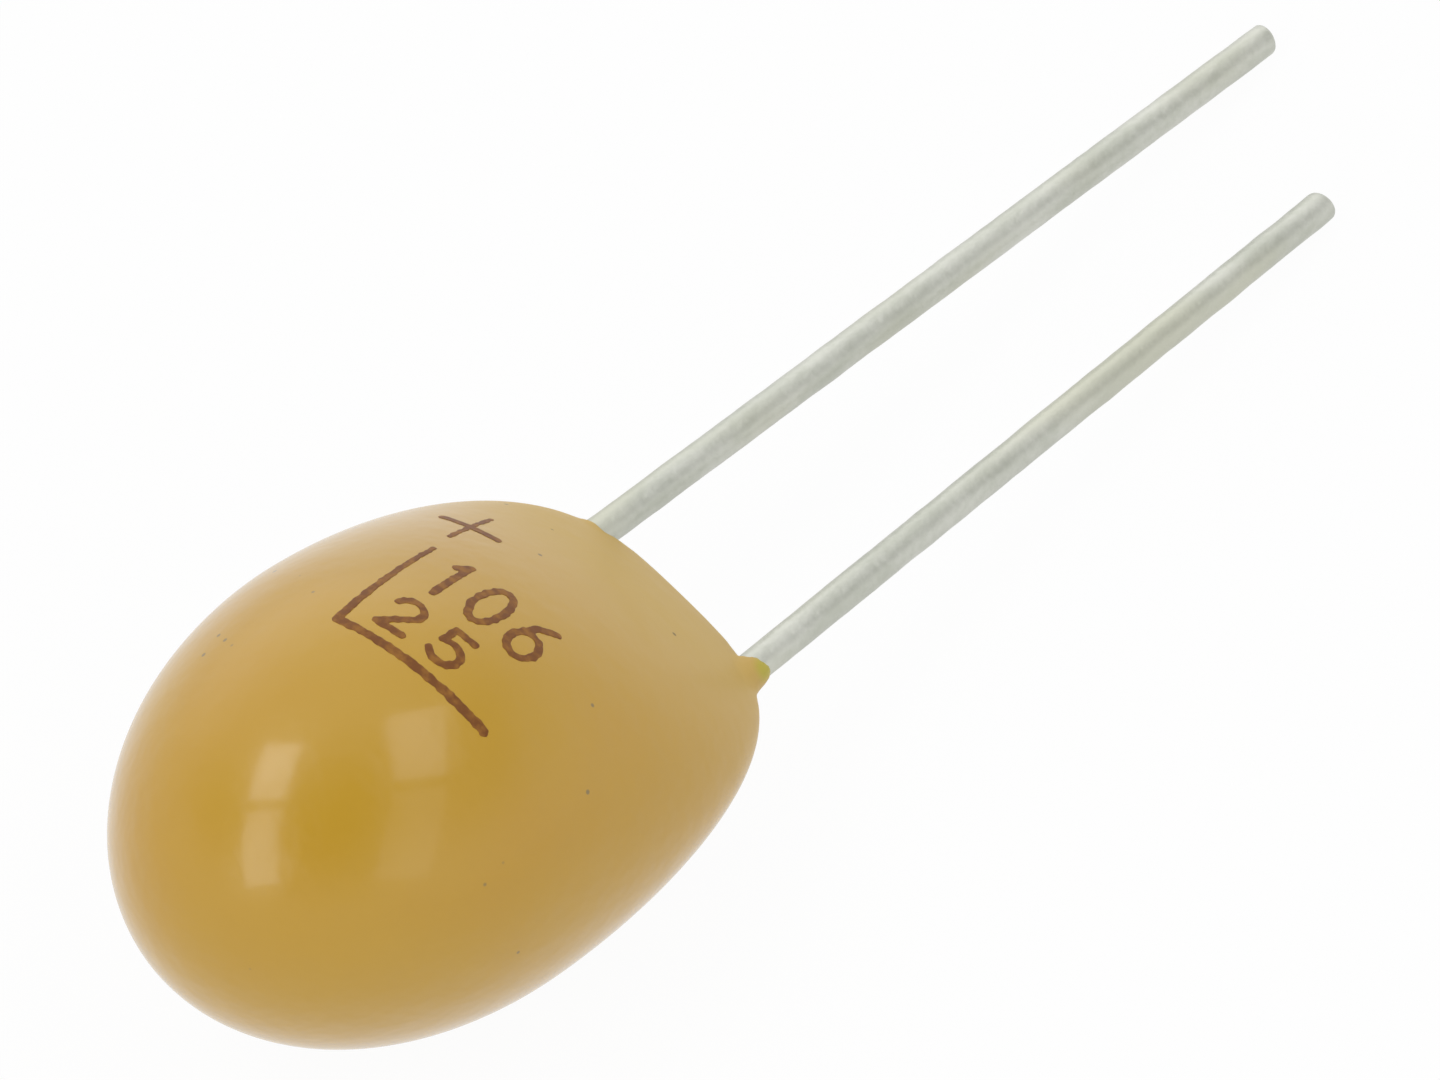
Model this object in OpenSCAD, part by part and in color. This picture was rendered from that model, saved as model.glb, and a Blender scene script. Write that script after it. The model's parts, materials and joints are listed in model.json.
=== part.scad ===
// Dipped bead capacitor: a sintered tantalum slug with its coats and two wire
// leads, sealed in an egg of cast resin with the rating stamped on its front.
// The pieces are built upright, with the nose of the bead down, the ridge of the
// coating at z = 0, the anode lead at -x, the cathode lead at +x and the stamped
// face towards -y. at_rest() then lays them down as one, stamped face up, on the
// belly of the bead and the tips of both leads.

/* [Slug] */
// Diameter of the pressed and sintered slug
slug_d = 4.0; // [2.5:0.1:6]
// Height of the slug
slug_h = 5.2; // [3.5:0.1:8]
// Radius of the slug's rounded edges
slug_edge = 0.3; // [0.1:0.05:0.6]
// Diameter of the tantalum wire that stands in the slug
riser_d = 0.4; // [0.3:0.05:0.5]
// How deep the tantalum wire is pressed into the slug
riser_depth = 2.2; // [1:0.1:3]
// How far the tantalum wire stands above the anode lead's foot
riser_over = 0.25; // [0.1:0.05:0.6]

/* [Coats on the slug] */
// Thickness of the manganese dioxide coat
oxide_t = 0.06; // [0.03:0.01:0.12]
// Thickness of the graphite coat
graphite_t = 0.04; // [0.02:0.01:0.1]
// Thickness of the silver coat
silver_t = 0.05; // [0.02:0.01:0.1]
// How far below the slug's top the graphite stops
graphite_margin = 0.45; // [0.35:0.05:0.8]
// How far below the slug's top the silver stops
silver_margin = 0.7; // [0.6:0.05:1.2]

/* [Washer] */
// Outer diameter of the insulating washer
washer_d = 1.5; // [1:0.1:2]
// Thickness of the washer
washer_t = 0.25; // [0.15:0.05:0.5]

/* [Leads] */
// Diameter of the tinned wire
lead_d = 0.51; // [0.4:0.01:0.64]
// Distance between the two leads where they leave the coating
lead_pitch = 3.18; // [2.54:0.01:4.2]
// Length of the anode lead outside the coating
anode_len = 14.75; // [8:0.05:30]
// Length of the cathode lead outside the coating
cathode_len = 13.2; // [8:0.05:30]
// Lean of the anode lead away from upright
anode_lean = 3.4; // [1:0.1:6]
// Lean of the cathode lead, towards the anode side
cathode_lean = 5.2; // [1:0.1:6]
// Centre-line radius of the bends in the wire
bend_r = 0.5; // [0.4:0.05:0.6]
// Centre-line radius of the slight bend with which a lead takes its lean
lean_bend_r = 3; // [2:0.1:3.2]
// How much fatter the wire is where it is bent
bend_swell = 0.005; // [0.003:0.001:0.01]
// Depth inside the resin at which a lead turns to its lean
exit_depth = 0.2; // [0.18:0.01:0.3]
// Bevel left by the cutter on the tip of each lead
tip_bevel = 0.06; // [0.02:0.01:0.12]
// Space between the washer and the anode lead's foot
foot_gap = 0.3; // [0.1:0.05:0.6]
// How far the welded foot reaches into the tantalum wire's side
weld_bite = 0.1; // [0.05:0.01:0.14]
// Height over which the cathode lead steps out to the slug's side
step_h = 1.0; // [0.8:0.1:1.4]
// Length of the cathode lead's end beside the slug
cathode_reach = 3.2; // [2.4:0.1:3.4]

/* [Solder] */
// Thickness of the solder between the cathode lead and the silver
solder_film = 0.05; // [0.03:0.01:0.15]
// Thickness of the solder around the cathode lead
solder_wrap = 0.24; // [0.15:0.01:0.35]
// How far the solder runs below the end of the cathode lead
solder_foot = 0.3; // [0.2:0.05:0.5]
// Bare silver above the solder
solder_margin = 0.2; // [0.1:0.05:0.5]

/* [Resin coating] */
// Resin outside the slug and the cathode lead, to each side
side_cover = 1.23; // [0.8:0.01:2]
// Resin over the front and back of the slug
face_cover = 1.325; // [1:0.005:2]
// Resin below the slug
nose_cover = 1.85; // [1.2:0.05:3]
// Resin between the tantalum wire's end and the ridge
ridge_cover = 1.89; // [1.2:0.01:3]
// Where the bead is widest, as a share of its height from the nose
girth_at = 0.49; // [0.42:0.01:0.55]
// Where the bead is thickest, as a share of its height from the nose
belly_at = 0.41; // [0.36:0.01:0.5]
// Fullness of the nose
nose_power = 2.1; // [2:0.05:2.6]
// Fullness of the shoulders, seen from the front
shoulder_power = 2.1; // [2:0.1:3]
// Bluntness of the shoulders, seen from the front
shoulder_round = 3.2; // [2.5:0.1:3.5]
// Fullness of the wedge below the ridge, seen from the side
wedge_power = 1.7; // [1.5:0.05:2.2]
// Bluntness of the ridge, seen from the side
wedge_round = 1.07; // [1:0.01:1.3]
// Height above the ridge to which resin climbs the leads
collar_top = 0; // [0:0.01:0.3]
// Depth below the ridge at which the collars run out
collar_root = 0.75; // [0.5:0.05:1]
// Radius of the collars at their root
collar_r = 0.5; // [0.45:0.05:0.8]
// Thickness of the resin at the top edge of a collar
collar_lip = 0.03; // [0.02:0.01:0.1]

/* [Stamped marks] */
// Thickness of the ink
ink_t = 0.02; // [0.015:0.005:0.05]
// Width of the ink line in the figures
pen_w = 0.13; // [0.08:0.01:0.16]
// Width of the corner's line at its bend
rule_w = 0.14; // [0.08:0.01:0.18]
// Width of the corner's line at its top end, where the stamp pressed least
rule_top_w = 0.08; // [0.06:0.01:0.14]
// Width of the corner's line at its right end
rule_end_w = 0.16; // [0.08:0.01:0.2]
// Width of the upright ink line in the plus
plus_line_w = 0.09; // [0.06:0.01:0.14]
// Width of the level ink line in the plus
plus_bar_w = 0.14; // [0.08:0.01:0.18]
// Distance of the corner left of the bead's axis
stamp_x = 1.21; // [0.9:0.01:1.4]
// Distance of the corner below the ridge
stamp_z = 6.51; // [6:0.01:7]
// Turn of the whole stamp
stamp_turn = 9; // [0:0.5:12]
// Height of the upper figures
upper_h = 1.0; // [0.7:0.05:1.1]
// Place of the upper figures to the right of the corner's upright
upper_right = 0.4; // [0.3:0.01:0.6]
// Place of the upper figures above the corner's level stroke
upper_up = 1.38; // [1.2:0.01:1.6]
// Height of the lower figures
lower_h = 0.7; // [0.5:0.05:0.9]
// Place of the lower figures to the right of the corner's upright
lower_right = 0.46; // [0.3:0.01:0.7]
// Place of the lower figures above the corner's level stroke
lower_up = 0.3; // [0.2:0.01:0.5]
// Width of a figure
figure_w = 0.46; // [0.3:0.01:0.55]
// Space between two upper figures
upper_gap = 0.3; // [0.2:0.01:0.35]
// Space between two lower figures
lower_gap = 0.42; // [0.2:0.01:0.5]
// Length of the corner's upright stroke
corner_h = 2.4; // [1.8:0.05:2.6]
// Length of the corner's level stroke
corner_w = 2.73; // [2:0.01:3]
// Width across the plus
plus_w = 0.97; // [0.6:0.01:1.2]
// Height of the plus
plus_h = 1.15; // [0.6:0.01:1.3]
// Height of the plus above the corner
plus_up = 3.5; // [3.2:0.05:3.8]
// Place of the plus to the left of the corner's upright
plus_left = 0.07; // [0:0.01:0.3]

/* [Smoothness] */
// Rings from the nose of the bead to its ridge
rings = 40; // [24:2:48]
// Sides of each ring
sides = 72; // [48:4:96]

/* [Hidden] */

$fn = 32;
bend_lap = 0.03;        // how far a straight stretch of wire runs into a bend
edge_steps = 6;         // flats in each rounded edge of the slug, its coats and the solder
pen_sides = 14;         // sides of the round pen that draws the marks
fit_rounds = 6;         // rounds in which the resting tilt and roll are found
nudge = 0.05;           // step in degrees with which they are found

lead_r = lead_d / 2;
riser_r = riser_d / 2;

// outer surface of each coat, measured out from the slug
oxide_out = oxide_t;
graphite_out = oxide_out + graphite_t;
silver_out = graphite_out + silver_t;

// the slug and the cathode lead beside it are centred together in the bead
dipped_r = slug_d / 2 + silver_out;
slug_x = -(solder_film + lead_d) / 2;
side_x = slug_x + dipped_r + solder_film + lead_r;

// heights, down from the ridge of the coating
riser_out = washer_t + foot_gap + lead_d + riser_over;
slug_top = -ridge_cover - riser_out;
slug_base = slug_top - slug_h;
riser_top = slug_top + riser_out;
foot_z = slug_top + washer_t + foot_gap + lead_r;
step_low = slug_top + washer_t;
cathode_end = slug_top - cathode_reach;
solder_top = slug_top - silver_margin - solder_margin;
solder_r = lead_r + solder_wrap;

// outer size of the bead
coat_w = 2 * dipped_r + solder_film + lead_d + 2 * side_cover;
coat_t = 2 * dipped_r + 2 * face_cover;
coat_h = nose_cover + silver_out - slug_base;

// ---- outline of the bead: t runs from 0 at the nose to 1 at the ridge ----

function bulge(u, power, blunt) = pow(max(0, 1 - pow(u, power)), 1 / blunt);
function profile(t, fullest, power, blunt) = t < fullest
    ? bulge((fullest - t) / fullest, nose_power, 2)
    : bulge((t - fullest) / (1 - fullest), power, blunt);
function half_w(t) = coat_w / 2 * profile(t, girth_at, shoulder_power, shoulder_round);
function half_t(t) = coat_t / 2 * profile(t, belly_at, wedge_power, wedge_round);
function ring_t(i) = (1 - cos(180 * i / rings)) / 2;
function ring_z(i) = coat_h * (ring_t(i) - 1);

// ---- how the part lies: down is the way to the floor, seen from the upright part ----

function down_at(tilt, roll) = [cos(tilt) * sin(roll), cos(tilt) * cos(roll), sin(tilt)];
function across_at(tilt, roll) = [cos(roll), -sin(roll), 0];
function along_at(tilt, roll) = [-sin(tilt) * sin(roll), -sin(tilt) * cos(roll), cos(tilt)];

function lean_axis(lean) = [-sin(lean), 0, cos(lean)];
anode_foot = [-lead_pitch / 2, 0, collar_top - exit_depth];
cathode_foot = [lead_pitch / 2, 0, collar_top - exit_depth];
anode_tip = anode_foot + (exit_depth + anode_len) * lean_axis(anode_lean);
cathode_tip = cathode_foot + (exit_depth + cathode_len) * lean_axis(cathode_lean);

// how far the bead, or the cut tip of a lead, reaches in a direction
function bead_reach(d) = max([for (i = [0:rings])
    d.z * ring_z(i) + norm([d.x * half_w(ring_t(i)), d.y * half_t(ring_t(i))])]);
function disc_reach(d, centre, axis, r) = d * centre + r * sqrt(1 - pow(d * axis, 2));
function tip_reach(d, tip, axis) = max(
    disc_reach(d, tip, axis, lead_r - tip_bevel),
    disc_reach(d, tip - tip_bevel * axis, axis, lead_r));
function anode_low(d) = tip_reach(d, anode_tip, lean_axis(anode_lean));
function cathode_low(d) = tip_reach(d, cathode_tip, lean_axis(cathode_lean));
function reach(d) = max(bead_reach(d), anode_low(d), cathode_low(d));

// the lie in which the belly and both tips are equally low, found by Newton's method
function gaps(p) = let (d = down_at(p.x, p.y), b = bead_reach(d))
    [anode_low(d) - b, cathode_low(d) - b];
function settle(p, n) = n < 1 ? p :
    let (g = gaps(p),
         a = (gaps(p + [nudge, 0]) - g) / nudge,
         b = (gaps(p + [0, nudge]) - g) / nudge,
         det = a.x * b.y - a.y * b.x)
    settle(p - [g.x * b.y - g.y * b.x, a.x * g.y - a.y * g.x] / det, n - 1);
lie = settle([atan2(coat_t / 2 - lead_r, cathode_len + coat_h / 2), 0], fit_rounds);
rest_down = down_at(lie.x, lie.y);
rest_across = across_at(lie.x, lie.y);
rest_along = along_at(lie.x, lie.y);
rest_place = [(reach(-rest_across) - reach(rest_across)) / 2,
              (reach(-rest_along) - reach(rest_along)) / 2,
              reach(rest_down)];

module at_rest() {
    translate(rest_place)
        rotate([-90 - lie.x, 0, 0])
            rotate([0, 0, lie.y])
                children();
}

// ---- shared forms ----

// a quarter of a rounded edge, from one angle to another
function edge_arc(cx, cz, r, from, to) =
    [for (i = [0:edge_steps]) let (a = from + (to - from) * i / edge_steps)
        [cx + r * cos(a), cz + r * sin(a)]];
// the slug's base and side grown by a coat, up to a level
function cup_line(grow, level) = concat(
    [[0, slug_base - grow]],
    edge_arc(slug_d / 2 - slug_edge, slug_base + slug_edge, slug_edge + grow, -90, 0),
    [[slug_d / 2 + grow, level]]);
// the slug's rounded top edge grown by a coat, ending flat at a radius
function rim_line(grow, inner_r) = concat(
    edge_arc(slug_d / 2 - slug_edge, slug_top - slug_edge, slug_edge + grow, 0, 90),
    [[inner_r, slug_top + grow]]);
function backwards(list) = [for (i = [len(list) - 1:-1:0]) list[i]];

module turned(points) {
    translate([slug_x, 0, 0])
        rotate_extrude()
            polygon(points);
}

// straight and bent wire in the plane of the leads
function turn_of(a, b, c) = let (u = b - a, v = c - b)
    atan2(u.x * v[1] - u[1] * v.x, u.x * v.x + u[1] * v[1]);
function tangent_of(a, b, c, r) = r * abs(tan(turn_of(a, b, c) / 2));
function corner_r(path, i) = i == len(path) - 2 ? lean_bend_r : bend_r;
function straight_from(path, i) = tangent_of(path[i - 1], path[i], path[i + 1], corner_r(path, i)) - bend_lap;
function unit(v) = v / norm(v);

module along(a, b) {
    translate([a.x, 0, a[1]])
        rotate([0, atan2(b.x - a.x, b[1] - a[1]), 0])
            children();
}

module elbow(a, b, c, r) {
    turn = turn_of(a, b, c);
    start = b - tangent_of(a, b, c, r) * unit(b - a);
    heading = atan2(b[1] - a[1], b.x - a.x);
    side = sign(turn);
    centre = start + r * side * [-sin(heading), cos(heading)];
    translate([centre.x, 0, centre[1]])
        rotate([90, 0, 0])
            rotate([0, 0, heading - 90 * side])
                rotate_extrude(angle = turn)
                    translate([r, 0])
                        circle(r = lead_r + bend_swell);
}

// a lead from its buried end to its cut and bevelled tip
module wire(path) {
    last = len(path) - 1;
    for (i = [1:last]) {
        way = unit(path[i] - path[i - 1]);
        from = i == 1 ? path[0] : path[i - 1] + straight_from(path, i - 1) * way;
        to = i == last ? path[last] : path[i] - straight_from(path, i) * way;
        length = norm(to - from);
        bevel = i == last ? tip_bevel : 0;
        along(from, to)
            if (bevel > 0)
                rotate_extrude()
                    polygon([[0, 0], [lead_r, 0], [lead_r, length - bevel],
                             [lead_r - bevel, length], [0, length]]);
            else
                cylinder(h = length, r = lead_r);
        if (i < last) elbow(path[i - 1], path[i], path[i + 1], corner_r(path, i));
    }
}

function flat(p) = [p.x, p.z];
anode_path = [[slug_x - weld_bite, foot_z], [-lead_pitch / 2, foot_z],
              flat(anode_foot), flat(anode_tip)];
cathode_path = [[side_x, cathode_end], [side_x, step_low], [lead_pitch / 2, step_low + step_h],
                flat(cathode_foot), flat(cathode_tip)];

// ---- the bead ----

module bead(grow) {
    points = concat(
        [[0, 0, -coat_h - grow]],
        [for (i = [1:rings - 1]) let (t = ring_t(i), w = half_w(t) + grow, d = half_t(t) + grow)
            for (k = [0:sides - 1]) let (a = 360 * k / sides) [w * cos(a), d * sin(a), ring_z(i)]],
        [[0, 0, grow]]);
    top = len(points) - 1;
    function at(i, k) = 1 + (i - 1) * sides + k % sides;
    faces = concat(
        [for (k = [0:sides - 1]) [0, at(1, k), at(1, k + 1)]],
        [for (i = [1:rings - 2]) for (k = [0:sides - 1])
            each [[at(i, k), at(i + 1, k), at(i + 1, k + 1)], [at(i, k), at(i + 1, k + 1), at(i, k + 1)]]],
        [for (k = [0:sides - 1]) [at(rings - 1, k), top, at(rings - 1, k + 1)]]);
    polyhedron(points, faces);
}

// resin drawn up each lead in a hollow curve
module collar(x) {
    foot_r = collar_r;
    lip_r = lead_r + collar_lip;
    height = collar_top + collar_root;
    translate([x, 0, -collar_root])
        rotate_extrude()
            polygon(concat(
                [[0, 0]],
                [for (i = [0:edge_steps]) let (a = 90 * i / edge_steps)
                    [foot_r - (foot_r - lip_r) * sin(a), height * (1 - cos(a))]],
                [[0, height]]));
}

// the drop of solder around the cathode lead's end, with or without the hole that the lead fills
module solder_form(hole_r) {
    low = cathode_end - solder_foot;
    translate([side_x, 0, 0])
        rotate_extrude()
            polygon(concat(
                [[0, low]],
                edge_arc(0, low + solder_r, solder_r, -90, 0),
                edge_arc(lead_r, solder_top - solder_wrap, solder_wrap, 0, 90),
                hole_r > 0 ? [[hole_r, cathode_end], [0, cathode_end]] : [[0, solder_top]]));
}

// ---- the nodes ----

module resin_coating() {
    color([0.745, 0.588, 0.29]) at_rest()
        difference() {
            union() {
                bead(0);
                collar(-lead_pitch / 2);
                collar(lead_pitch / 2);
            }
            turned(concat(
                cup_line(silver_out, slug_top - silver_margin),
                [[slug_d / 2 + graphite_out, slug_top - silver_margin],
                 [slug_d / 2 + graphite_out, slug_top - graphite_margin],
                 [slug_d / 2 + oxide_out, slug_top - graphite_margin]],
                rim_line(oxide_out, washer_d / 2),
                [[washer_d / 2, slug_top + washer_t], [riser_r, slug_top + washer_t],
                 [riser_r, riser_top], [0, riser_top]]));
            wire(anode_path);
            wire(cathode_path);
            solder_form(0);
        }
}

module tantalum_slug() {
    color([0.35, 0.35, 0.37]) at_rest()
        turned(concat(
            cup_line(0, slug_top - slug_edge),
            rim_line(0, riser_r),
            [[riser_r, slug_top - riser_depth], [0, slug_top - riser_depth]]));
}

module tantalum_riser() {
    color([0.5, 0.5, 0.53]) at_rest()
        translate([slug_x, 0, slug_top - riser_depth])
            cylinder(h = riser_depth + riser_out, r = riser_r);
}

module insulating_washer() {
    color([0.93, 0.93, 0.9]) at_rest()
        turned([[riser_r, slug_top], [washer_d / 2, slug_top],
                [washer_d / 2, slug_top + washer_t], [riser_r, slug_top + washer_t]]);
}

module manganese_dioxide_coat() {
    color([0.12, 0.1, 0.1]) at_rest()
        turned(concat(
            cup_line(oxide_out, slug_top - slug_edge),
            rim_line(oxide_out, washer_d / 2),
            backwards(rim_line(0, washer_d / 2)),
            backwards(cup_line(0, slug_top - slug_edge))));
}

module graphite_coat() {
    color([0.2, 0.2, 0.21]) at_rest()
        turned(concat(
            cup_line(graphite_out, slug_top - graphite_margin),
            backwards(cup_line(oxide_out, slug_top - graphite_margin))));
}

module silver_coat() {
    color([0.72, 0.72, 0.71]) at_rest()
        turned(concat(
            cup_line(silver_out, slug_top - silver_margin),
            backwards(cup_line(graphite_out, slug_top - silver_margin))));
}

module cathode_solder() {
    color([0.66, 0.67, 0.68]) at_rest()
        difference() {
            solder_form(lead_r);
            turned(cup_line(silver_out, slug_top));
        }
}

module anode_lead() {
    color([0.72, 0.72, 0.68]) at_rest()
        difference() {
            wire(anode_path);
            translate([slug_x, 0, slug_top])
                cylinder(h = riser_out + lead_r, r = riser_r);
        }
}

module cathode_lead() {
    color([0.72, 0.72, 0.68]) at_rest()
        wire(cathode_path);
}

// ---- marks: drawn flat, then kept only where they lie in a skin of ink on the bead ----

function oval(cx, cy, rx, ry, from, to, steps) =
    [for (i = [0:steps]) let (a = from + (to - from) * i / steps) [cx + rx * cos(a), cy + ry * sin(a)]];
function one(w, h) = [[0.3 * w, 0.8 * h], [0.62 * w, h], [0.62 * w, 0]];
function zero(w, h) = oval(w / 2, h / 2, w / 2, h / 2, 90, 450, 16);
function six(w, h) = concat([[0.85 * w, h], [0.35 * w, 0.8 * h]],
    oval(w / 2, 0.3 * h, w / 2, 0.3 * h, 170, 530, 14));
function two(w, h) = concat(oval(w / 2, 0.7 * h, w / 2, 0.3 * h, 165, -20, 8), [[0, 0], [w, 0]]);
function five(w, h) = concat([[0.9 * w, h], [0.15 * w, h], [0.08 * w, 0.56 * h]],
    oval(0.46 * w, 0.32 * h, 0.54 * w, 0.32 * h, 110, -150, 10));

// an ink line through points, with the line's width at each
module pen(points, widths) {
    for (i = [1:len(points) - 1])
        hull()
            for (k = [i - 1, i])
                translate(points[k]) circle(d = widths[k], $fn = pen_sides);
}
function even(points, width) = [for (p = points) width];

module figures(shapes, gap) {
    for (i = [0:len(shapes) - 1])
        translate([i * (figure_w + gap), 0])
            pen(shapes[i], even(shapes[i], pen_w));
}

module stamp() {
    upper = [one(figure_w, upper_h), zero(figure_w, upper_h), six(figure_w, upper_h)];
    lower = [two(figure_w, lower_h), five(figure_w, lower_h)];
    pen([[0, corner_h], [0, 0], [corner_w, 0]], [rule_top_w, rule_w, rule_end_w]);
    translate([-plus_left, plus_up]) {
        pen([[0, -plus_h / 2], [0, plus_h / 2]], [plus_line_w, plus_line_w]);
        pen([[-plus_w / 2, 0], [plus_w / 2, 0]], [plus_bar_w, plus_bar_w]);
    }
    translate([lower_right, lower_up]) figures(lower, lower_gap);
    translate([upper_right, upper_up]) figures(upper, upper_gap);
}

module stamped_marks() {
    color([0.44, 0.27, 0.18]) at_rest()
        intersection() {
            difference() {
                bead(ink_t);
                bead(0);
            }
            translate([-stamp_x, 0, -stamp_z])
                rotate([90, 0, 0])
                    linear_extrude(coat_t)
                        rotate([0, 0, stamp_turn])
                            stamp();
        }
}

resin_coating();
tantalum_slug();
tantalum_riser();
insulating_washer();
manganese_dioxide_coat();
graphite_coat();
silver_coat();
cathode_solder();
anode_lead();
cathode_lead();
stamped_marks();
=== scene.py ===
import json
import math

import bpy
import numpy as np
from mathutils import Matrix, Vector, noise


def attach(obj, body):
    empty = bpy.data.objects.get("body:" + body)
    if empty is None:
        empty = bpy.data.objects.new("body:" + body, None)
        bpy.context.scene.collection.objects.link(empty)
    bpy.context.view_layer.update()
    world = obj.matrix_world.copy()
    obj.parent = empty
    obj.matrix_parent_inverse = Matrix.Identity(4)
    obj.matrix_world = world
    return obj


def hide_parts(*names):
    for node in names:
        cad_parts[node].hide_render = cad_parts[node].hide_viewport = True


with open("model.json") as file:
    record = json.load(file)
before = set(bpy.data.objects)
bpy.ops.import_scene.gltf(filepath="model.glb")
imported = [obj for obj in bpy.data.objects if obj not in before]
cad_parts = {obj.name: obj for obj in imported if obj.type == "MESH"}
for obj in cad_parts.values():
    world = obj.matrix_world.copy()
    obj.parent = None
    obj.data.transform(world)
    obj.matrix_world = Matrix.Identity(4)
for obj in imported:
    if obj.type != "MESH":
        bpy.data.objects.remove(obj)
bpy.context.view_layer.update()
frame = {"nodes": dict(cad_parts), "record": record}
bpy.ops.object.select_all(action="DESELECT")


# ---- Tantalum slug ----
# A cylinder pressed from tantalum powder and sintered, so it is dark grey, matte
# and full of pores. It is the anode, and every other inner piece is built on it.

class Value:
    """A shader socket that adds Math nodes when it is used in an expression."""

    def __init__(self, nodes, socket):
        self.nodes = nodes
        self.socket = socket

    def math(self, operation, first, second):
        return self.nodes.node("Math", {"operation": operation}, {0: first, 1: second})

    def __add__(self, other): return self.math("ADD", self, other)
    def __radd__(self, other): return self.math("ADD", other, self)
    def __sub__(self, other): return self.math("SUBTRACT", self, other)
    def __rsub__(self, other): return self.math("SUBTRACT", other, self)
    def __mul__(self, other): return self.math("MULTIPLY", self, other)
    def __rmul__(self, other): return self.math("MULTIPLY", other, self)


class Nodes:
    """The nodes of a material or of the world."""

    def __init__(self, owner):
        owner.use_nodes = True
        self.tree = owner.node_tree

    def feed(self, socket, value):
        """Links a value to a socket, or sets the socket to a number, a vector or a colour."""
        if isinstance(value, Value):
            self.tree.links.new(value.socket, socket)
        elif socket.type == "RGBA":
            socket.default_value = (*value, 1)
        else:
            socket.default_value = value

    def node(self, kind, settings={}, inputs={}, output=0):
        """A new node of a type, with its settings, then the values or links of its sockets."""
        made = self.tree.nodes.new("ShaderNode" + kind)
        for key, value in settings.items():
            setattr(made, key, value)
        for key, value in inputs.items():
            self.feed(made.inputs[key], value)
        return Value(self, made.outputs[output])

    def step(self, value, low, high):
        """0 below low and 1 above high, with a smooth rise between them."""
        return self.node("MapRange", {"interpolation_type": "SMOOTHSTEP"},
                         {"Value": value, "From Min": low, "From Max": high})


class Finish(Nodes):
    """A material: one Principled shader and the nodes that feed it."""

    def __init__(self, name, **constants):
        self.material = bpy.data.materials.new(name)
        super().__init__(self.material)
        self.shader = self.tree.nodes["Principled BSDF"]
        for socket, value in constants.items():
            self.set(socket.replace("_", " "), value)

    def set(self, socket, value):
        """Feeds one of the shader's own sockets."""
        self.feed(self.shader.inputs[socket], value)

    def place(self, stretch=(1, 1, 1)):
        """Object coordinates in millimetres, stretched along each axis."""
        millimetres = self.node("VectorMath", {"operation": "SCALE"},
                                {0: self.node("TexCoord", output="Object"), "Scale": 1000})
        return self.node("Mapping", {"vector_type": "TEXTURE"},
                         {"Vector": millimetres, "Scale": stretch})

    def mottle(self, place, scale, detail=2, roughness=0.5):
        """Smooth random values about one half, with so many lumps to the millimetre."""
        return self.node("TexNoise", {}, {"Vector": place, "Scale": scale, "Detail": detail,
                                          "Roughness": roughness})

    def between(self, low, high, factor):
        """A colour from low to high by a factor."""
        return self.node("Mix", {"data_type": "RGBA"}, {0: factor, 6: low, 7: high}, output=2)

    def relief(self, height, depth_mm):
        """A bump so many millimetres deep from a height between 0 and 1."""
        self.set("Normal", self.node("Bump", {}, {"Height": height, "Distance": depth_mm / 1000}))


def dress(node, finish):
    """Gives a CAD node its finish."""
    for slot in frame["nodes"][node].material_slots:
        slot.material = finish.material


pore_grey, powder_grey = (0.05, 0.05, 0.055), (0.2, 0.2, 0.21)

sinter = Finish("sintered_tantalum", Metallic=0.6)
grain = sinter.mottle(sinter.place(), 14, detail=4)
sinter.set("Base Color", sinter.between(pore_grey, powder_grey, grain))
sinter.set("Roughness", 0.6 + 0.3 * grain)
sinter.relief(grain, 0.03)
dress("tantalum_slug", sinter)


# ---- Tantalum wire ----
# A length of drawn tantalum wire, pressed into the powder before it is sintered.
# It stands out of the slug's top, where the anode lead is welded to its side.

drawn_dark, drawn_bright = (0.2, 0.2, 0.22), (0.36, 0.36, 0.39)

drawn = Finish("drawn_tantalum", Metallic=1.0)
draw_lines = drawn.mottle(drawn.place(stretch=(1, 12, 1)), 18)
drawn.set("Base Color", drawn.between(drawn_dark, drawn_bright, draw_lines))
drawn.set("Roughness", 0.25 + 0.25 * draw_lines)
drawn.relief(draw_lines, 0.004)
dress("tantalum_riser", drawn)


# ---- Insulating washer ----
# A small white plastic ring slipped over the tantalum wire. It keeps the coats
# that are dipped on afterwards from creeping up the wire.

washer_shade, washer_white = (0.74, 0.74, 0.7), (0.86, 0.86, 0.83)

washer = Finish("white_washer")
washer_grain = washer.mottle(washer.place(), 8)
washer.set("Base Color", washer.between(washer_shade, washer_white, washer_grain))
washer.set("Roughness", 0.35 + 0.2 * washer_grain)
dress("insulating_washer", washer)


# ---- Coats on the slug ----
# Three cups dipped over the slug, one on the other: black manganese dioxide, which
# is the electrolyte, then graphite, then silver paint that takes the solder.

# The darker and the lighter colour, the roughness, the metallic share and the lumps to the millimetre.
coats = {
    "manganese_dioxide_coat": ((0.008, 0.007, 0.007), (0.03, 0.025, 0.024), 0.7, 0.0, 20),
    "graphite_coat": ((0.022, 0.022, 0.024), (0.06, 0.06, 0.065), 0.45, 0.2, 12),
    "silver_coat": ((0.42, 0.42, 0.4), (0.6, 0.6, 0.58), 0.35, 0.9, 6),
}
for coat, (low, high, rough, metal, lumps) in coats.items():
    paint = Finish(coat, Metallic=metal)
    streaks = paint.mottle(paint.place(), lumps, detail=3)
    paint.set("Base Color", paint.between(low, high, streaks))
    paint.set("Roughness", rough + 0.2 * streaks)
    paint.relief(streaks, 0.01)
    dress(coat, paint)


# ---- Solder ----
# A drop of soft solder that ran round the cathode lead's end and froze against
# the silver: smooth, with a faint frosting.

solder_dull, solder_bright = (0.4, 0.41, 0.43), (0.62, 0.63, 0.65)

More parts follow.
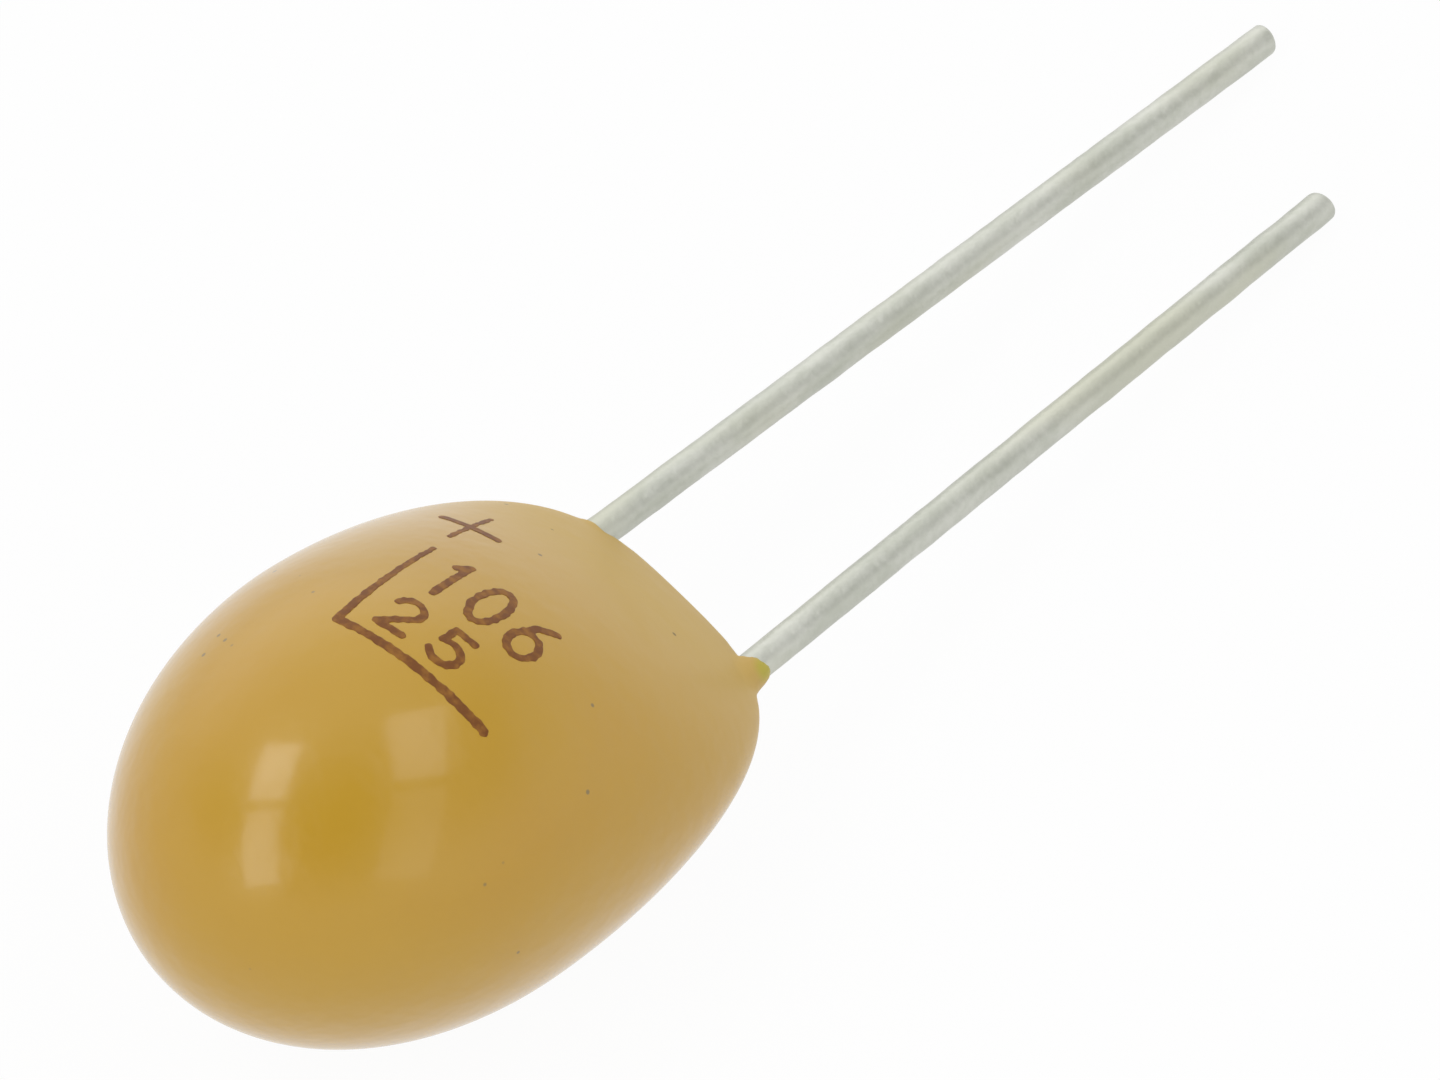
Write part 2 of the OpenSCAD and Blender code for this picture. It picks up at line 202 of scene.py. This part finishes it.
solder = Finish("frozen_solder", Metallic=1.0)
frost = solder.mottle(solder.place(), 5, detail=3)
solder.set("Base Color", solder.between(solder_dull, solder_bright, frost))
solder.set("Roughness", 0.2 + 0.35 * frost)
solder.relief(frost, 0.01)
dress("cathode_solder", solder)


# ---- Leads ----
# Two lengths of round tinned wire, bent to shape before the dip. The anode lead is
# welded across the tantalum wire, the cathode lead is soldered down the slug's side,
# and both were cut off by a cutter that left a slanted tip with a rolled edge.

lead_pitch = 3.18
bend_r, knee_r = 0.5, 3.0
step_h = 1.0
wire_sides = 40
straight_step, bend_turn = 0.12, math.radians(6)
ripple_size, ripple_h = 0.5, 0.02
sharp_edge = math.radians(50)
# Each roll of the cut edge: how far it goes in, and how far on.
tip_rolls = [(0.012, 0.03), (0.03, 0.025), (0.045, 0.012)]
tip_roll = sum(onward_mm for _, onward_mm in tip_rolls)
cut_slants = {"anode_lead": math.radians(7), "cathode_lead": math.radians(-9)}
tin_shade, tin_bright, tin_stain = (0.5, 0.515, 0.45), (0.625, 0.632, 0.575), (0.55, 0.555, 0.45)

mounts = {m["name"]: m for m in frame["record"]["mounts"]}
wire_r = mounts["anode_lead_pin"]["dims"]["r_mm"]
riser = np.array([v.co for v in frame["nodes"]["tantalum_riser"].data.vertices])
riser_axis = np.linalg.svd(riser - riser.mean(0))[2][0]
bead_up = Vector(riser_axis * np.sign(riser_axis[1]))
exits = [Vector(mounts[name]["pos_m"]) for name in ("anode_lead_pin", "cathode_lead_pin")]
bead_across = exits[1] - exits[0]
bead_across = (bead_across - bead_across.project(bead_up)).normalized()
bead_front = bead_across.cross(bead_up)


def span(node, way):
    """Lowest and highest reach of a CAD node along a direction, in metres."""
    reaches = [v.co.dot(way) for v in frame["nodes"][node].data.vertices]
    return min(reaches), max(reaches)


# The upright bead: its ridge's middle is the origin, x runs across to the cathode
# lead, -y is the stamped face, z runs up to the leads, and the unit is a millimetre.
ridge = (bead_up * span("resin_coating", bead_up)[1]
         + bead_across * sum(span("resin_coating", bead_across)) / 2
         + bead_front * sum(span("resin_coating", bead_front)) / 2)
lay = Matrix((bead_across, -bead_front, bead_up)).transposed().to_4x4()
lay.translation = ridge
lay @= Matrix.Scale(0.001, 4)


def upright(node):
    """A CAD node's corners in the upright bead's millimetres."""
    stand = lay.inverted()
    return np.array([stand @ v.co for v in frame["nodes"][node].data.vertices])


def start_edit():
    """Opens the active mesh in edit mode with all of it selected."""
    bpy.ops.object.mode_set(mode="EDIT")
    bpy.ops.mesh.select_all(action="SELECT")


def leave_edit():
    """Merges corners that meet, turns the faces outwards and leaves edit mode."""
    bpy.ops.mesh.select_all(action="SELECT")
    bpy.ops.mesh.remove_doubles(threshold=0.0001)
    bpy.ops.mesh.normals_make_consistent(inside=False)
    bpy.ops.object.mode_set(mode="OBJECT")


def wire(name, corners, radii, cut_slant):
    """Round wire through corners in the plane of the leads, bent at each to its radius, and cut."""
    first = (corners[1] - corners[0]).normalized()
    bpy.ops.mesh.primitive_circle_add(vertices=wire_sides, radius=wire_r, fill_type="NGON",
                                      location=corners[0], rotation=(0, math.atan2(first.x, first.z), 0))
    bpy.ops.object.transform_apply(location=True, rotation=True, scale=False)
    made = bpy.context.object
    made.name = made.data.name = name
    start_edit()
    here = corners[0]
    for i in range(1, len(corners)):
        way = (corners[i] - corners[i - 1]).normalized()
        bent = i < len(corners) - 1
        if bent:
            onward = (corners[i + 1] - corners[i]).normalized()
            turn = way.angle(onward)
            side = way.cross(onward).normalized()
            stop = corners[i] - way * radii[i - 1] * math.tan(turn / 2)
        else:
            stop = corners[i]
        pulls = max(1, round((stop - here).length / straight_step))
        for _ in range(pulls):
            bpy.ops.mesh.extrude_region_move(TRANSFORM_OT_translate={"value": (stop - here) / pulls})
        here = stop
        if bent:
            middle = here + side.cross(way) * radii[i - 1]
            bpy.ops.mesh.spin(steps=max(2, round(turn / bend_turn)), angle=-turn, center=middle, axis=side)
            here = middle + Matrix.Rotation(turn, 3, side) @ (here - middle)
    bpy.ops.transform.rotate(value=-cut_slant, orient_axis="Y", center_override=here)
    for inward, onward_mm in tip_rolls:
        bpy.ops.mesh.inset(thickness=inward, depth=onward_mm)
    leave_edit()
    return made


tinned = Finish("matte_tin", Metallic=1.0)
along_wire = tinned.place(stretch=(1, 4, 1))
dull = tinned.mottle(along_wire, 2.2, detail=3, roughness=0.55)
fine = tinned.mottle(tinned.place(), 7, detail=4, roughness=0.6)
tone = tinned.step(0.65 * dull + 0.35 * fine, 0.32, 0.68)
stain = tinned.step(tinned.mottle(along_wire, 0.9, detail=1), 0.45, 0.7)
bare = tinned.between(tin_shade, tin_bright, tone)
tinned.set("Base Color", tinned.between(bare, tin_stain, 0.7 * stain))
tinned.set("Roughness", 0.4 + 0.12 * fine)
tinned.relief(fine, 0.012)

for name in ("anode_lead", "cathode_lead"):
    mount = mounts[name + "_pin"]
    lean = (lay.inverted().to_3x3() @ Vector(mount["axis"])).normalized()
    leaves = lay.inverted() @ Vector(mount["pos_m"])
    corners_mm = upright(name)
    tip = leaves + lean * (max((corners_mm - np.array(leaves)) @ np.array(lean)) - tip_roll)
    side_of = -1 if name == "anode_lead" else 1
    stem_x = side_of * lead_pitch / 2
    knee = leaves + lean * (stem_x - leaves.x) / lean.x
    if name == "anode_lead":
        foot_z = corners_mm[:, 2].min() + wire_r
        path = [Vector((corners_mm[:, 0].max(), 0, foot_z)), Vector((stem_x, 0, foot_z)), knee, tip]
        radii = [bend_r, knee_r]
    else:
        side_x = corners_mm[:, 0].max() - wire_r
        step_z = upright("insulating_washer")[:, 2].max()
        path = [Vector((side_x, 0, corners_mm[:, 2].min())), Vector((side_x, 0, step_z)),
                Vector((stem_x, 0, step_z + step_h)), knee, tip]
        radii = [bend_r, bend_r, knee_r]
    lead = wire(name + "_wire", path, radii, cut_slants[name])
    ripple = bpy.data.textures.new(name + "_ripple", "CLOUDS")
    ripple.noise_scale = ripple_size
    shift = lead.modifiers.new("ripple", "DISPLACE")
    shift.texture, shift.texture_coords = ripple, "LOCAL"
    shift.strength, shift.mid_level = ripple_h, 0.5
    bpy.ops.object.modifier_apply(modifier=shift.name)
    bpy.ops.object.shade_smooth_by_angle(angle=sharp_edge)
    lead.data.transform(lay)
    lead.data.materials.append(tinned.material)
    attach(lead, "root")
    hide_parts(name)
    lead.select_set(False)


# ---- Resin coating ----
# The finished slug was dipped in liquid epoxy, nose down, and cured: a glossy egg
# with a fine skin, drawn out to a ridge between the leads, where surface tension
# pulled a little of it up each wire.

# Where the bead is fullest across and through, as a share of its height, and how its outline closes.
girth_at, belly_at = 0.49, 0.41
nose_power = 2.1
shoulder_power, shoulder_round = 2.1, 3.2
wedge_power, wedge_round = 1.7, 1.07
collar_root, collar_lip = 0.75, 0.045
collar_steps, bead_rings, ring_sides = 7, 72, 72
skin_mesh = 0.057
# Within the first distance of a lead the skin is left soft, beyond the second it is on the outline.
collar_reach = (0.45, 0.95)
ridge_r = 0.3
# The third gold is painted light: a paler gold laid on the ridge by the anode lead, where it lies in shade.
gold_deep, gold_light, gold_painted_light = (0.515, 0.28, 0.006), (0.525, 0.297, 0.01), (0.585, 0.39, 0.105)
speck_brown, thin_green = (0.24, 0.16, 0.04), (0.5, 0.42, 0.05)
thin_aside, thin_down = 0.22, 0.02
# The ridge's dull patch, which also carries the painted light, is centred so far towards the anode lead and
# fades out between these distances.
dull_painted_light_aside, dull_painted_light_reach = 0.5, (1.8, 4.8)

resin_mm = upright("resin_coating")
coat_w, coat_t = np.ptp(resin_mm[:, 0]), np.ptp(resin_mm[:, 1])
coat_h = -resin_mm[:, 2].min()


def bulge(t, fullest, power, blunt):
    """Half width of the bead as a share of its fullest, from 0 at the nose to 1 at the ridge."""
    low = np.sqrt(np.clip(1 - np.clip((fullest - t) / fullest, 0, 1) ** nose_power, 0, 1))
    high = np.clip(1 - np.clip((t - fullest) / (1 - fullest), 0, 1) ** power, 0, 1) ** (1 / blunt)
    return np.where(t < fullest, low, high)


def outline(z):
    """Half width and half thickness of the bead at a height."""
    t = np.clip(z / coat_h + 1, 0, 1)
    return (coat_w / 2 * bulge(t, girth_at, shoulder_power, shoulder_round),
            coat_t / 2 * bulge(t, belly_at, wedge_power, wedge_round))


def get_corners(mesh):
    """A mesh's corners as rows of x, y and z."""
    flat = np.empty(len(mesh.vertices) * 3, np.float32)
    mesh.vertices.foreach_get("co", flat)
    return flat.reshape(-1, 3).astype(float)


def set_corners(mesh, corners):
    """Moves a mesh's corners to these rows of x, y and z."""
    mesh.vertices.foreach_set("co", corners.astype(np.float32).ravel())
    mesh.update()


def draw_up(rings):
    """A solid drawn up ring by ring, each with its centre, half width, half thickness and slant."""
    low, low_wide, low_thick, _ = rings[0]
    bpy.ops.mesh.primitive_circle_add(vertices=ring_sides, radius=1, fill_type="NGON", location=low)
    bpy.ops.object.transform_apply(location=True, rotation=True, scale=False)
    made = bpy.context.object
    start_edit()
    bpy.ops.transform.resize(value=(low_wide, low_thick, 1), center_override=low)
    for middle, wide, thick, slant in rings[1:]:
        bpy.ops.mesh.extrude_region_move(TRANSFORM_OT_translate={"value": Vector(middle) - Vector(low)})
        bpy.ops.transform.resize(value=(wide / low_wide, thick / low_thick, 1), center_override=middle)
        if slant:
            bpy.ops.transform.rotate(value=slant, orient_axis="Y", center_override=middle)
        low, low_wide, low_thick = middle, wide, thick
    leave_edit()
    return made


def collar(x, root_r, top, outward, slant):
    """Resin drawn up a lead in a hollow curve, from a wide foot in the bead to a thin, slanted lip."""
    rings = []
    for i in range(collar_steps + 1):
        swing = math.pi / 2 * i / collar_steps
        ring_r = root_r - (root_r - wire_r - collar_lip) * math.sin(swing)
        level = -collar_root + (collar_root + top) * (1 - math.cos(swing))
        rings.append(((x + outward * (1 - i / collar_steps), 0, level), ring_r, ring_r, slant / collar_steps))
    return draw_up(rings)


# The rings lie closer together towards the nose and the ridge, where the outline turns fast.
levels = coat_h * ((1 - np.cos(np.linspace(0, math.pi, bead_rings + 1)[1:-1])) / 2 - 1)
resin = draw_up([((0, 0, level), *outline(level), 0) for level in levels])
resin.name = resin.data.name = "resin_skin"
anode_collar = collar(-lead_pitch / 2, root_r=0.4, top=-0.32, outward=0, slant=0)
cathode_collar = collar(lead_pitch / 2, root_r=0.44, top=-0.05, outward=0.18, slant=math.radians(28))
anode_collar.select_set(True)
cathode_collar.select_set(True)
resin.select_set(True)
bpy.context.view_layer.objects.active = resin
bpy.ops.object.join()
remesh = resin.modifiers.new("skin", "REMESH")
remesh.mode, remesh.voxel_size = "VOXEL", skin_mesh
bpy.ops.object.modifier_apply(modifier=remesh.name)
settle = resin.modifiers.new("settle", "SMOOTH")
settle.factor, settle.iterations = 0.5, 12
bpy.ops.object.modifier_apply(modifier=settle.name)


def on_outline(corners):
    """The same corners moved in or out along rays from the bead's middle, onto its outline."""
    heart = np.array([0, 0, -coat_h / 2])
    rays = corners - heart
    low, high = np.full(len(rays), 0.8), np.full(len(rays), 1.2)
    for _ in range(30):
        middle = (low + high) / 2
        x, y, z = (heart + rays * middle[:, None]).T
        wide, thick = outline(z)
        inside = (z < 0) & (z > -coat_h) & ((x * thick) ** 2 + (y * wide) ** 2 < (wide * thick) ** 2)
        low, high = np.where(inside, middle, low), np.where(inside, high, middle)
    return heart + rays * low[:, None]


soft = get_corners(resin.data)
exact = on_outline(soft)
from_lead = np.minimum(*(np.linalg.norm(soft - [side * lead_pitch / 2, 0, 0], axis=1) for side in (-1, 1)))
share = np.clip((from_lead - collar_reach[0]) / (collar_reach[1] - collar_reach[0]), 0, 1)
share *= np.clip(-exact[:, 2] / ridge_r, 0, 1)
share = (share * share * (3 - 2 * share))[:, None]
set_corners(resin.data, soft + (exact - soft) * share)
bpy.ops.object.shade_smooth()
resin.data.transform(lay)

epoxy = Finish("golden_epoxy", IOR=1.5, Coat_IOR=1.4, Coat_Roughness=0.12)
cast = epoxy.place()


def away_from(x, y, z):
    """Millimetres on the resin from a point of the upright bead."""
    return epoxy.node("VectorMath", {"operation": "DISTANCE"},
                      {0: cast, 1: (lay @ Vector((x, y, z))) * 1000}, output="Value")


# The gloss fades towards the ridge by the anode lead, and the gold there is painted paler: painted light over
# the shade on the ridge and its collar.
clouds = epoxy.mottle(cast, 0.25)
gloss_and_no_painted_light = epoxy.step(away_from(-dull_painted_light_aside, 0, 0), *dull_painted_light_reach)
golden = epoxy.between(gold_deep, gold_light, epoxy.step(clouds, 0.35, 0.65))
golden = epoxy.between(gold_painted_light, golden, gloss_and_no_painted_light)
# Specks of dust show in some places only, and thin resin on the cathode's collar looks green.
dust = epoxy.node("TexVoronoi", {}, {"Vector": cast, "Scale": 1.6}) + 0.06 * epoxy.step(clouds, 0.52, 0.58)
golden = epoxy.between(speck_brown, golden, epoxy.step(dust, 0.035, 0.08))
thick = epoxy.step(away_from(lead_pitch / 2 + thin_aside, -thin_aside, -thin_down), 0.1, 0.3)
epoxy.set("Base Color", epoxy.between(thin_green, golden, thick))
epoxy.set("Coat Weight", 0.7 * gloss_and_no_painted_light)
epoxy.set("Roughness", 0.28 + 0.1 * clouds + 0.2 * (1 - gloss_and_no_painted_light))
epoxy.relief(epoxy.mottle(cast, 1.6), 0.028)
resin.data.materials.append(epoxy.material)
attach(resin, "root")
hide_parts("resin_coating")
resin.select_set(False)


# ---- Stamped marks ----
# One touch of a rubber stamp with dark brown ink: a corner, a plus on the anode's
# side and two rows of figures, with edges that bled a little into the gloss.

# The ink is thickened for its remesh, and then pressed flat to a share of that thickness.
thicken, ink_mesh, ink_stand = 3, 0.014, 0.1
bleed, bleed_size, bleed_seed = 0.02, 0.09, 7
ink_dark, ink_thin = (0.178, 0.056, 0.004), (0.3, 0.122, 0.012)

marks = bpy.data.objects.new("stamped_ink", frame["nodes"]["stamped_marks"].data.copy())
bpy.context.scene.collection.objects.link(marks)
marks.data.materials.clear()
marks.data.transform(lay.inverted())
marks.select_set(True)
bpy.context.view_layer.objects.active = marks
start_edit()
leave_edit()
corners = get_corners(marks.data)
surface = on_outline(corners)
set_corners(marks.data, surface + (corners - surface) * thicken)
remesh = marks.modifiers.new("ink", "REMESH")
remesh.mode, remesh.voxel_size = "VOXEL", ink_mesh
bpy.ops.object.modifier_apply(modifier=remesh.name)
soften = marks.modifiers.new("soften", "SMOOTH")
soften.factor, soften.iterations = 0.5, 4
bpy.ops.object.modifier_apply(modifier=soften.name)
corners = get_corners(marks.data)
noise.seed_set(bleed_seed)
corners += np.array([noise.noise_vector(Vector(corner) / bleed_size) for corner in corners]) * bleed
surface = on_outline(corners)
set_corners(marks.data, surface + (corners - surface) * ink_stand)
bpy.ops.object.shade_smooth()
marks.data.transform(lay)

ink = Finish("brown_ink", IOR=1.4)
blots = ink.mottle(ink.place(), 6, detail=3)
ink.set("Base Color", ink.between(ink_dark, ink_thin, ink.step(blots, 0.38, 0.72)))
ink.set("Roughness", 0.4 + 0.15 * blots)
marks.data.materials.append(ink.material)
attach(marks, "root")
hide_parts("stamped_marks")
marks.select_set(False)


# ---- Floor and light ----
# A white table under a light tent: two tall split windows flank the camera, and
# the cloth above it is darker.

table_size, whiteness = 3, 0.955

bpy.ops.mesh.primitive_plane_add(size=table_size)
table = bpy.context.object
table.name = "table"


def in_sight(nodes):
    """1 where the camera looks, straight, by reflection or through a clear piece."""
    straight, mirrored, through = (nodes.node("LightPath", output=f"Is {kind} Ray")
                                   for kind in ("Camera", "Glossy", "Transmission"))
    return straight.math("MAXIMUM", straight.math("MAXIMUM", straight, mirrored), through)


cloth = Finish("white_table", Base_Color=(0.86, 0.86, 0.86), Roughness=0.9, Specular_IOR_Level=0.1)
shown = cloth.node("MixShader", {}, {0: whiteness * in_sight(cloth), 1: Value(cloth, cloth.shader.outputs[0]),
                                     2: cloth.node("Emission")})
cloth.feed(cloth.tree.nodes["Material Output"].inputs["Surface"], shown)
table.data.materials.append(cloth.material)
table.select_set(False)

azimuth, elevation, roll = math.radians(47.79), math.radians(55.21), math.radians(-1.465)
camera_range = 0.2
aim = Vector((-0.000094, -0.001308, 0.002938))
back = Vector((math.sin(azimuth) * math.cos(elevation), -math.cos(azimuth) * math.cos(elevation),
               math.sin(elevation)))
lens = bpy.data.cameras.new("camera")
lens.lens, lens.sensor_width = 340.15, 36
lens.clip_start, lens.clip_end = 0.01, 10
camera = bpy.data.objects.new("camera", lens)
bpy.context.scene.collection.objects.link(camera)
camera.matrix_world = (Matrix.Translation(aim + back * camera_range)
                       @ (back.to_track_quat("Z", "Y").to_matrix() @ Matrix.Rotation(roll, 3, "Z")).to_4x4())
bpy.context.scene.camera = camera

window_range = 0.3
right = camera.matrix_world.to_3x3().col[0]
upward = camera.matrix_world.to_3x3().col[1]
# Each pane's degrees to the right, its lowest and highest degrees up, half its width and its radiance.
panes = ((-32, 13, 37, 8.7, 3.6), (-32, -28, 8, 8.7, 2.7), (30, 15, 45, 9.6, 2.1), (30, -30, 10, 9.6, 0.85))
for side_deg, low_deg, high_deg, half_deg, radiance in panes:
    rise, turn = math.radians((low_deg + high_deg) / 2), math.radians(side_deg)
    way = (back * math.cos(turn) + right * math.sin(turn)) * math.cos(rise) + upward * math.sin(rise)
    light = bpy.data.lights.new("window", "AREA")
    light.shape = "RECTANGLE"
    light.size = 2 * window_range * math.tan(math.radians(half_deg))
    light.size_y = 2 * window_range * math.tan(math.radians((high_deg - low_deg) / 2))
    light.energy = radiance * math.pi * light.size * light.size_y
    window = bpy.data.objects.new("window", light)
    bpy.context.scene.collection.objects.link(window)
    across = upward.cross(way).normalized()
    window.matrix_world = Matrix.Translation(aim + way * window_range) @ Matrix(
        (across, way.cross(across), way)).transposed().to_4x4()
    window.visible_camera = False

# The tent darkens upwards, and two of its sides are brighter: where each lies, and by how much.
tent_dim, unseen = 0.75, 0.8
bright_sides = [(Vector((-0.58, 0.26, 0.77)).normalized(), 0.85), ((right + 0.45 * back).normalized(), 0.12)]
bpy.context.scene.world = bpy.data.worlds.new("tent")
tent = Nodes(bpy.context.scene.world)
heading = tent.node("TexCoord", output="Generated")
level = tent.node("SeparateXYZ", {}, {0: heading}, output="Z")
glow = 1 - tent_dim * tent.step(level, 0.15, 0.8)
for side, bright in bright_sides:
    facing = tent.node("VectorMath", {"operation": "DOT_PRODUCT"}, {0: heading, 1: side}, output="Value")
    glow = glow + bright * tent.step(facing, 0.5, 0.98)
cloud = tent.tree.nodes["Background"]
tent.feed(cloud.inputs["Color"], (1, 1, 1))
tent.feed(cloud.inputs["Strength"], glow * (unseen + (1 - unseen) * in_sight(tent)))
bpy.context.scene.view_settings.view_transform = "Standard"
